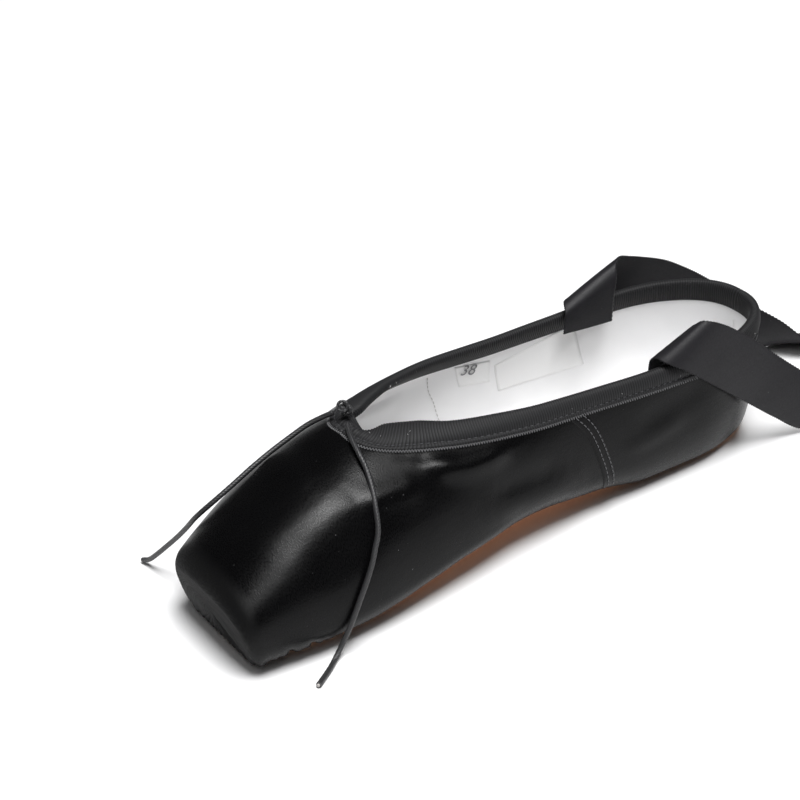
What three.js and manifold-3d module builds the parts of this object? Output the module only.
// A pointe shoe: satin over a stiff toe box, standing empty on its leather sole.
//
// Millimetres, +Z up. The toe points along -Y, and +X is the wearer's left.
// The origin is on the floor, under the middle of the forefoot's tread.
// A "station" is a distance along the shoe, from the toe's flat platform.

import * as THREE from "three";
import { mergeVertices } from "three/addons/utils/BufferGeometryUtils.js";
import Module from "manifold-3d";

const wasm = await Module();
wasm.setup();

// ---- Driving dimensions ---------------------------------------------------

const LENGTH = 248; // platform to the back of the heel
const TREAD = 28; // station of the origin
const GAP = 0.3; // between pieces that touch
const BELOW = -10; // a height safely under every piece

const WALL = 2; // satin, canvas and lining together
const TOE_WALL = 4; // the paste box behind the platform
const TOE_EDGE = 4; // radius round the platform's edge
const HEEL_ROUND = { from: 203, power: 2.25 }; // where the plan starts to close
const HEEL_EDGE = 6; // radius under the back of the heel

// The opening underneath that the sole closes: a share of the flat's width.
const LASTING = { from: 30, to: 228, share: 0.6, corner: 8, step: 8, top: 20 };

const TAPE = 0.9; // the folded binding tape

// The leather sole. `toe` and `heel` are the radii of its ends.
const SOLE = { thick: 2.7, edge: 0.5, from: 12, to: 240, toe: 14, heel: 16, steps: 25 };
const INSOLE = { thick: 1.6, from: 24, to: 243, step: 7 };

const CORD = 2; // drawstring diameter
const CORD_STEP = 4; // between its sections
const KNOT = { x: -2.3, at: 68.6, height: 64, radius: 2.1, strand: 0.75, tilt: 0.25 };

const RIBBON = 0.6; // ribbon thickness, with its woven edges
const RIBBON_STEPS = 3; // lofted sections for each row of its table

// ---- Tables ---------------------------------------------------------------

function named(columns, rows) {
  return rows.map((row) => Object.fromEntries(columns.map((name, i) => [name, row[i]])));
}

// The last, a row for each section. middle: where its middle line runs, for it
// swings inwards at the toe. half: half the width. top: height of the crown.
// seat: height of the flat bottom. wide: height of the widest line. flat: half
// the flat bottom. crown, under: exponents of the curves above and below the
// widest line, 2 is an ellipse. lean: how far the top stands ahead of the bottom.
const LAST = named(
  ["at", "middle", "half", "top", "seat", "wide", "flat", "crown", "under", "lean"],
  [
    [0, 11, 27.5, 30, 1.8, 14, 20, 2.7, 2.2, 5],
    [10, 9.3, 30.5, 36.5, 3, 13.5, 22, 2.6, 2.2, 4],
    [25, 7, 34.5, 45.2, 3, 13, 24.5, 2.4, 2.2, 2.5],
    [42, 4.6, 37.6, 53, 3, 13.5, 25.5, 2.25, 2.2, 0.8],
    [60, 2.6, 38.8, 58, 4.8, 15, 27, 2.15, 2.2, 0],
    [75, 1.2, 38.9, 60.5, 7.4, 16.5, 27, 2.1, 2.2, 0],
    [90, 0, 38.4, 62, 9.4, 18, 26, 2.1, 2.2, 0],
    [120, -1.5, 36, 65, 10.6, 19.5, 22, 2.25, 2.2, 0],
    [155, -1.6, 33.4, 70, 6.8, 18, 22, 2.35, 2.2, 0],
    [180, -0.8, 33, 75, 3.3, 19, 26, 2.4, 2, 0],
    [203, 0, 32.8, 78, 3, 22, 26, 2.4, 1.8, 0],
    [230, 1.2, 31.8, 80, 3, 26, 24, 2.5, 1.6, -2],
    [248, 2.4, 30.6, 82, 3, 28, 22, 2.5, 1.5, -6],
  ],
);

// The top edge of the upper, seen from the side, and the tape's lower edge on
// it. Each meets the crown of the last where it crosses the middle of the vamp.
const COLLAR = named(
  ["at", "height", "hem"],
  [
    [48, 68, 63],
    [59, 64.2, 57.2],
    [69, 59.3, 56],
    [77, 59.9, 54.9],
    [86, 59.4, 53.4],
    [98, 57.4, 51.4],
    [116, 55.3, 48.9],
    [135, 53.2, 46.8],
    [160, 51.4, 45],
    [185, 50.8, 44],
    [210, 51, 43.6],
    [232, 51.5, 43.6],
    [248, 52, 44],
    [262, 52, 44],
  ],
);
const THROAT = { to: 100, step: 3 }; // where the edge is cut in finer steps
const SIDE_STEP = 6;

// Half the width of the leather sole.
const SOLE_PLAN = named(
  ["at", "half"],
  [
    [12, 19],
    [30, 23.5],
    [50, 26],
    [75, 25.5],
    [100, 23],
    [130, 19.5],
    [158, 18.5],
    [185, 19.5],
    [210, 20],
    [240, 18],
  ],
);

// The drawstring's two free ends, from the knot to the cut tip on the floor.
const CORD_COLUMNS = ["x", "at", "height"];
const CORDS = {
  drawstring_end_near: named(CORD_COLUMNS, [
    [2.8, 65, 61.9],
    [6.4, 63.5, 61.1],
    [10.4, 62, 60.4],
    [17.6, 60.4, 58.2],
    [22.2, 59.9, 54.8],
    [27.6, 58.4, 50.5],
    [31.8, 56.6, 46.4],
    [36.7, 54.1, 39.7],
    [39.3, 50.7, 34.3],
    [41, 48, 30.2],
    [42.3, 44.4, 24.9],
    [43.1, 41, 19.8],
    [43.5, 36.2, 11.4],
    [43.2, 32.4, 5],
    [44.8, 28.2, 1.6],
    [48.2, 23.6, 1.3],
    [53, 16.4, 1.3],
  ]),
  drawstring_end_far: named(CORD_COLUMNS, [
    [-7.2, 65.2, 61.8],
    [-9.6, 62, 60],
    [-12, 57, 57.6],
    [-13.4, 50, 54.3],
    [-13.9, 42, 51.1],
    [-14, 34, 47.7],
    [-14, 26, 43.9],
    [-14.4, 19.5, 40.6],
    [-15.8, 14.6, 37.2],
    [-18.8, 11.8, 33],
    [-23.6, 10.6, 27.2],
    [-29.6, 9, 20.4],
    [-36, 7, 13.6],
    [-41.6, 5.2, 7.8],
    [-46.4, 4, 3.4],
    [-50.4, 3, 1.3],
  ]),
};

// Each ribbon as its two edges, a row for each fold or turn: up inside the
// collar, over a slanting crest, down past the heel, and out flat along the
// floor, where it doubles back once.
const RIBBON_COLUMNS = ["x", "at", "height", "x2", "at2", "height2"];
const RIBBONS = {
  ribbon_near: named(RIBBON_COLUMNS, [
    [23.6, 180, 44.5, 23.6, 202, 43],
    [23.4, 180.4, 50, 23.5, 202, 53.5],
    [24, 181, 53.6, 24, 202.4, 59.8],
    [26.6, 181.8, 55.4, 26.6, 203.1, 62.6],
    [29.4, 182.8, 55.2, 29.4, 204.6, 64.8],
    [31.6, 186, 53.8, 31.8, 207.8, 64.5],
    [33.4, 192.5, 50, 33, 212.4, 62.3],
    [34.2, 203, 42, 33.4, 218.6, 58],
    [34.5, 214, 33, 33.8, 228.4, 50],
    [34.6, 226.5, 22.6, 34.4, 240, 39.2],
    [34.8, 239, 12.2, 38, 255.6, 25.4],
    [35.4, 251.6, 2.6, 42.4, 265.4, 17.4],
    [36.4, 263, 0.9, 52, 274, 9.8],
    [37.2, 280, 0.7, 58.4, 284, 3],
    [38, 300, 0.7, 60, 301, 0.9],
    [39.4, 330, 0.7, 61.4, 330, 0.7],
    [40.8, 365, 2.4, 62.8, 364, 2.4],
    [40.6, 400, 0.8, 62.6, 400, 0.8],
    [40, 424, 1, 62, 425, 1],
    [40.2, 427.4, 2.4, 62.2, 428.4, 2.4],
    [41, 424, 3.8, 63, 425.4, 3.8],
    [46, 396, 3.6, 67.8, 399, 3.6],
    [52.4, 362, 4.6, 74, 366, 4.4],
    [59, 328, 2.8, 80.4, 333, 2.6],
    [65, 296, 1.6, 86.4, 301, 1.2],
  ]),
  ribbon_far: named(RIBBON_COLUMNS, [
    [-23.6, 180.5, 45.5, -23.6, 204.5, 43],
    [-23.5, 181, 50, -23.6, 205.5, 52],
    [-24.2, 182, 53.8, -24.2, 207.5, 60.5],
    [-27, 183.6, 55.8, -26.8, 209.6, 64.8],
    [-30.2, 186.4, 55.6, -29.8, 213, 65.8],
    [-32.8, 191.5, 53.2, -32, 216.5, 64.6],
    [-34.2, 200, 48.6, -33.2, 221, 62.6],
    [-34.6, 212, 42, -33.6, 229, 59.4],
    [-34.4, 228, 34, -33.4, 241, 54],
    [-33.6, 244, 24.5, -32, 254, 45.4],
    [-31.4, 258, 14, -29, 266, 35.8],
    [-28, 269, 5.4, -22.6, 278, 25.2],
    [-25.5, 278, 1.4, -13, 286, 18.6],
    [-24.5, 288, 0.7, -6, 293, 11],
    [-23.6, 300, 0.7, -2.6, 303, 5],
    [-23, 316, 0.7, -1.2, 317, 1.6],
    [-22, 340, 0.7, 0, 340, 0.7],
    [-20.6, 372, 2.2, 1.4, 371, 2.2],
    [-20.8, 400, 0.8, 1.2, 400, 0.8],
    [-21.4, 424, 1, 0.6, 425, 1],
    [-21.2, 427.4, 2.4, 0.8, 428.4, 2.4],
    [-20.4, 424, 3.8, 1.6, 425.4, 3.8],
    [-15.4, 396, 3.6, 6.4, 399, 3.6],
    [-9, 362, 4.6, 12.6, 366, 4.4],
    [-2.4, 328, 2.8, 19, 333, 2.6],
    [3.6, 300, 1.6, 25, 305, 1.2],
  ]),
};

// ---- Curves through the tables --------------------------------------------

// A smooth curve through a column of a table, which never overshoots its rows.
function follow(table, column, at) {
  const last = table.length - 1;
  const slope = (i) => (table[i + 1][column] - table[i][column]) / (table[i + 1].at - table[i].at);
  const tangent = (i) => {
    if (i === 0) return slope(0);
    if (i === last) return slope(last - 1);
    const [before, after] = [slope(i - 1), slope(i)];
    return before * after > 0 ? (2 * before * after) / (before + after) : 0;
  };
  let i = 0;
  while (i < last - 1 && at > table[i + 1].at) i += 1;
  const span = table[i + 1].at - table[i].at;
  const t = THREE.MathUtils.clamp((at - table[i].at) / span, 0, 1);
  const ease = t * t * (3 - 2 * t);
  const leave = t * (1 - t) ** 2 * span * tangent(i);
  const arrive = t * t * (t - 1) * span * tangent(i + 1);
  return THREE.MathUtils.lerp(table[i][column], table[i + 1][column], ease) + leave + arrive;
}

// How far a quarter round of this radius has drawn back, `along` from its end.
function roundOff(radius, along) {
  const left = Math.max(0, radius - along);
  return radius - Math.sqrt(radius * radius - left * left);
}

// The share of its width that the plan keeps as it closes round the heel.
function heelPlan(at, end = LENGTH) {
  const u = THREE.MathUtils.clamp((at - HEEL_ROUND.from) / (end - HEEL_ROUND.from), 0, 1);
  return (1 - u ** HEEL_ROUND.power) ** (1 / HEEL_ROUND.power);
}

// The last at a station, grown outwards all round by `grow`.
function lastAt(at, grow) {
  const toe = roundOff(TOE_EDGE, at);
  const heel = roundOff(HEEL_EDGE, LENGTH - at);
  const plan = heelPlan(at);
  const size = (column) => follow(LAST, column, at);
  return {
    middle: size("middle"),
    half: Math.max(0.8, (size("half") - toe + grow) * plan),
    flat: Math.max(0.5, (size("flat") - toe) * plan),
    top: size("top") - toe + grow,
    seat: size("seat") + toe / 2 + heel - grow,
    wide: size("wide"),
    crown: size("crown"),
    under: size("under"),
    lean: size("lean"),
  };
}

// Where a height on a leaning section stands along the shoe, as a +Y coordinate.
function standing(at, height, section) {
  const rise = (height - section.seat) / (section.top - section.seat);
  return at - TREAD - section.lean * (rise - 0.5);
}

// ---- Solids ---------------------------------------------------------------

const ARCH_STEPS = 18; // over the top of a section
const CORNER_STEPS = 5; // from its widest line round to the flat bottom
const FLAT_STEPS = 3;

// Where the sections stand: close together round the toe's edge, even along the
// shoe, and then in even turns round the heel.
const SECTIONS = { toe: [0, 0.35, 1.2, 2.6, 4.5, 8, 13], from: 20, step: 9, heel: 200, turns: 11, end: 0.25 };

// How far from each end a grown last is also drawn out lengthways.
const DRAWN = { toe: 30, heel: 60 };

// One section of the last as a ring of points: over the top, then underneath.
function lastRing(at, grow, shift) {
  const s = lastAt(at, grow);
  const ring = [];
  const add = (x, z) => ring.push(new THREE.Vector3(s.middle + x, standing(at, z, s) + shift, z));
  for (let i = 0; i <= ARCH_STEPS; i += 1) {
    const turn = (Math.PI * i) / ARCH_STEPS;
    const [c, n] = [Math.cos(turn), Math.sin(turn)];
    add(Math.sign(c) * s.half * Math.abs(c) ** (2 / s.crown), s.wide + (s.top - s.wide) * n ** (2 / s.crown));
  }
  const corner = (i) => {
    const turn = (Math.PI * i) / (2 * CORNER_STEPS);
    const out = s.flat + (s.half - s.flat) * Math.cos(turn) ** (2 / s.under);
    return [out, s.wide - (s.wide - s.seat) * Math.sin(turn) ** (2 / s.under)];
  };
  for (let i = 1; i <= CORNER_STEPS; i += 1) add(-corner(i)[0], corner(i)[1]);
  for (let i = 1; i < FLAT_STEPS; i += 1) add(s.flat * ((2 * i) / FLAT_STEPS - 1), s.seat);
  for (let i = CORNER_STEPS; i >= 1; i -= 1) add(...corner(i));
  return ring;
}

// A closed solid through rings that all run the same way, the first one capped
// towards -Y and the last one towards +Y. Each patch is split along its shorter
// diagonal, so the two faces of a twisted ribbon keep their distance.
function loft(rings) {
  const count = rings[0].length;
  const middle = (ring) => ring.reduce((sum, p) => sum.add(p), new THREE.Vector3()).divideScalar(count);
  const points = [...rings.flat(), middle(rings[0]), middle(rings.at(-1))];
  const [toe, heel] = [points.length - 2, points.length - 1];
  const faces = [];
  for (let j = 0; j < count; j += 1) {
    const k = (j + 1) % count;
    faces.push([toe, j, k]);
    for (let r = 0; r + 1 < rings.length; r += 1) {
      const [a, b] = [r * count, (r + 1) * count];
      const [near, far] = [points[b + j].distanceTo(points[a + k]), points[a + j].distanceTo(points[b + k])];
      if (near <= far) faces.push([a + j, b + j, a + k], [a + k, b + j, b + k]);
      else faces.push([a + j, b + j, b + k], [a + j, b + k, a + k]);
    }
    const end = (rings.length - 1) * count;
    faces.push([heel, end + k, end + j]);
  }
  const geometry = new THREE.BufferGeometry().setFromPoints(points);
  geometry.setIndex(faces.flat());
  return geometry;
}

function stations() {
  const list = [...SECTIONS.toe];
  for (let at = SECTIONS.from; at < SECTIONS.heel; at += SECTIONS.step) list.push(at);
  for (let i = 1; i < SECTIONS.turns; i += 1) {
    const turn = (Math.PI * i) / (2 * SECTIONS.turns);
    list.push(SECTIONS.heel + (LENGTH - SECTIONS.heel) * Math.sin(turn));
  }
  list.push(LENGTH - SECTIONS.end);
  return list;
}

// The last, grown by `grow` on every side but the platform, which moves by `ahead`.
function lastSolid(grow, ahead = grow) {
  const rings = stations().map((at) => {
    const toe = 1 - THREE.MathUtils.smoothstep(at, 0, DRAWN.toe);
    const heel = THREE.MathUtils.smoothstep(at, LENGTH - DRAWN.heel, LENGTH);
    return lastRing(at, grow, heel * grow - toe * ahead);
  });
  return solid(loft(rings));
}

function solid(geometry) {
  geometry.deleteAttribute("normal");
  geometry.deleteAttribute("uv");
  const merged = mergeVertices(geometry, 1e-4);
  const mesh = new wasm.Mesh({
    numProp: 3,
    vertProperties: new Float32Array(merged.attributes.position.array),
    triVerts: new Uint32Array(merged.index.array),
  });
  return new wasm.Manifold(mesh);
}

// A block with this outline seen from the side, as wide as the shoe and more.
function sideBlock(outline) {
  const reach = 3 * LAST[0].half;
  const shape = new THREE.Shape(outline.map(([y, z]) => new THREE.Vector2(y, z)));
  const block = new THREE.ExtrudeGeometry(shape, { depth: 2 * reach, bevelEnabled: false });
  block.translate(0, 0, -reach);
  const [x, y, z] = [new THREE.Vector3(0, 1, 0), new THREE.Vector3(0, 0, 1), new THREE.Vector3(1, 0, 0)];
  return solid(block.applyMatrix4(new THREE.Matrix4().makeBasis(x, y, z)));
}

// Everything over the collar, or over the hem of its tape, raised by `raise`.
function over(column, raise) {
  const line = [];
  for (let at = COLLAR[0].at; at <= COLLAR.at(-1).at; at += at < THROAT.to ? THROAT.step : SIDE_STEP) {
    const height = follow(COLLAR, column, at);
    const past = Math.max(0, at - LENGTH);
    line.push([past + standing(at - past, height, lastAt(at - past, 0)), height + raise]);
  }
  const sky = 3 * LAST[0].top;
  return sideBlock([...line, [line.at(-1)[0], sky], [line[0][0], sky]]);
}

// ---- Pieces ---------------------------------------------------------------

function upper() {
  const shell = lastSolid(0).subtract(lastSolid(-WALL, -TOE_WALL));
  const outline = [];
  for (let at = LASTING.from; at <= LASTING.to; at += LASTING.step) {
    const ends = roundOff(LASTING.corner, at - LASTING.from) + roundOff(LASTING.corner, LASTING.to - at);
    const half = follow(LAST, "flat", at) * LASTING.share - ends;
    outline.push([follow(LAST, "middle", at), half, at - TREAD]);
  }
  const left = outline.map(([middle, half, y]) => new THREE.Vector2(middle + half, y));
  const right = outline.map(([middle, half, y]) => new THREE.Vector2(middle - half, y));
  const shape = new THREE.Shape([...left, ...right.reverse()]);
  const opening = new THREE.ExtrudeGeometry(shape, { depth: LASTING.top - BELOW, bevelEnabled: false });
  opening.translate(0, 0, BELOW);
  return shell.subtract(over("height", 0)).subtract(solid(opening));
}

function binding() {
  const skin = GAP + TAPE;
  const folded = lastSolid(skin).subtract(lastSolid(-WALL - skin));
  const wall = lastSolid(GAP).subtract(lastSolid(-WALL - GAP)).subtract(over("height", GAP));
  return folded.intersect(over("hem", 0)).subtract(over("height", skin)).subtract(wall);
}

function insole() {
  const floor = [];
  for (let at = INSOLE.from; at <= INSOLE.to; at += INSOLE.step) {
    floor.push([at - TREAD, follow(LAST, "seat", at) + WALL + GAP + INSOLE.thick]);
  }
  const slab = sideBlock([[INSOLE.from - TREAD, BELOW], [floor.at(-1)[0], BELOW], ...floor.reverse()]);
  return lastSolid(-WALL - GAP).intersect(slab);
}

// The sections stand closer together towards the two rounded ends.
function outsole() {
  const rings = [];
  for (let i = 0; i <= SOLE.steps; i += 1) {
    const even = i / SOLE.steps;
    const ease = even - Math.sin(2 * Math.PI * even) / 10;
    rings.push(soleRing(THREE.MathUtils.lerp(SOLE.from, SOLE.to, ease)));
  }
  return solid(loft(rings));
}

function soleRing(at) {
  const ends = roundOff(SOLE.toe, at - SOLE.from) + 0.8 * roundOff(SOLE.heel, SOLE.to - at);
  const half = follow(SOLE_PLAN, "half", at) - ends;
  const top = follow(LAST, "seat", at) - GAP;
  const [low, high] = [top - SOLE.thick, top - SOLE.edge];
  const corner = half - SOLE.edge;
  const outline = [
    [half, low + SOLE.edge], [half, high], [corner, top], [-corner, top],
    [-half, high], [-half, low + SOLE.edge], [-corner, low], [corner, low],
  ];
  const middle = follow(LAST, "middle", at);
  return outline.map(([x, z]) => new THREE.Vector3(middle + x, at - TREAD, z));
}

// Two strands' worth of elastic drawn into an overhand knot, lying on the tape.
function knot() {
  const loop = new THREE.TorusKnotGeometry(KNOT.radius, KNOT.strand, 40, 6, 2, 3);
  loop.rotateX(KNOT.tilt);
  loop.translate(KNOT.x, KNOT.at - TREAD, KNOT.height);
  return solid(loop);
}

function cord(points) {
  const path = new THREE.CatmullRomCurve3(points.map((p) => new THREE.Vector3(p.x, p.at - TREAD, p.height)));
  const section = new THREE.Shape().absarc(0, 0, CORD / 2, 0, 2 * Math.PI);
  const steps = Math.round(path.getLength() / CORD_STEP);
  return solid(new THREE.ExtrudeGeometry(section, { steps, curveSegments: 4, extrudePath: path }));
}

function ribbon(rows) {
  const edge = (x, at, height) => new THREE.CatmullRomCurve3(
    rows.map((row) => new THREE.Vector3(row[x], row[at] - TREAD, row[height])),
  );
  const [first, second] = [edge("x", "at", "height"), edge("x2", "at2", "height2")];
  const steps = RIBBON_STEPS * (rows.length - 1);
  const rings = [];
  for (let i = 0; i <= steps; i += 1) {
    const t = i / steps;
    const [a, b] = [first.getPoint(t), second.getPoint(t)];
    const along = first.getTangent(t).add(second.getTangent(t));
    const lift = along.cross(b.clone().sub(a)).setLength(RIBBON / 2);
    rings.push([a.clone().add(lift), b.clone().add(lift), b.clone().sub(lift), a.clone().sub(lift)]);
  }
  return solid(loft(rings));
}

// ---- Assembly -------------------------------------------------------------

const FINISH = {
  satin: { color: 0x141417, roughness: 0.38 },
  leather: { color: 0xa8754c, roughness: 0.7 },
  cotton: { color: 0xf1f0ee, roughness: 0.95 },
  tape: { color: 0x1d1d20, roughness: 0.85 },
  ribbon: { color: 0x1b1b1f, roughness: 0.45 },
};

function geometryOf(manifold) {
  const mesh = manifold.getMesh();
  const geometry = new THREE.BufferGeometry();
  geometry.setAttribute("position", new THREE.BufferAttribute(mesh.vertProperties, mesh.numProp));
  geometry.setIndex(new THREE.BufferAttribute(mesh.triVerts, 1));
  geometry.computeVertexNormals();
  return geometry;
}

const shoe = new THREE.Group();

function place(name, finish, manifold) {
  const material = new THREE.MeshStandardMaterial({ ...FINISH[finish], metalness: 0 });
  const piece = new THREE.Mesh(geometryOf(manifold), material);
  piece.name = name;
  shoe.add(piece);
}

place("upper", "satin", upper());
place("outsole", "leather", outsole());
place("insole", "cotton", insole());
place("binding", "tape", binding());

place("drawstring_knot", "tape", knot());
for (const [name, points] of Object.entries(CORDS)) place(name, "tape", cord(points));
for (const [name, rows] of Object.entries(RIBBONS)) place(name, "ribbon", ribbon(rows));

export default shoe;
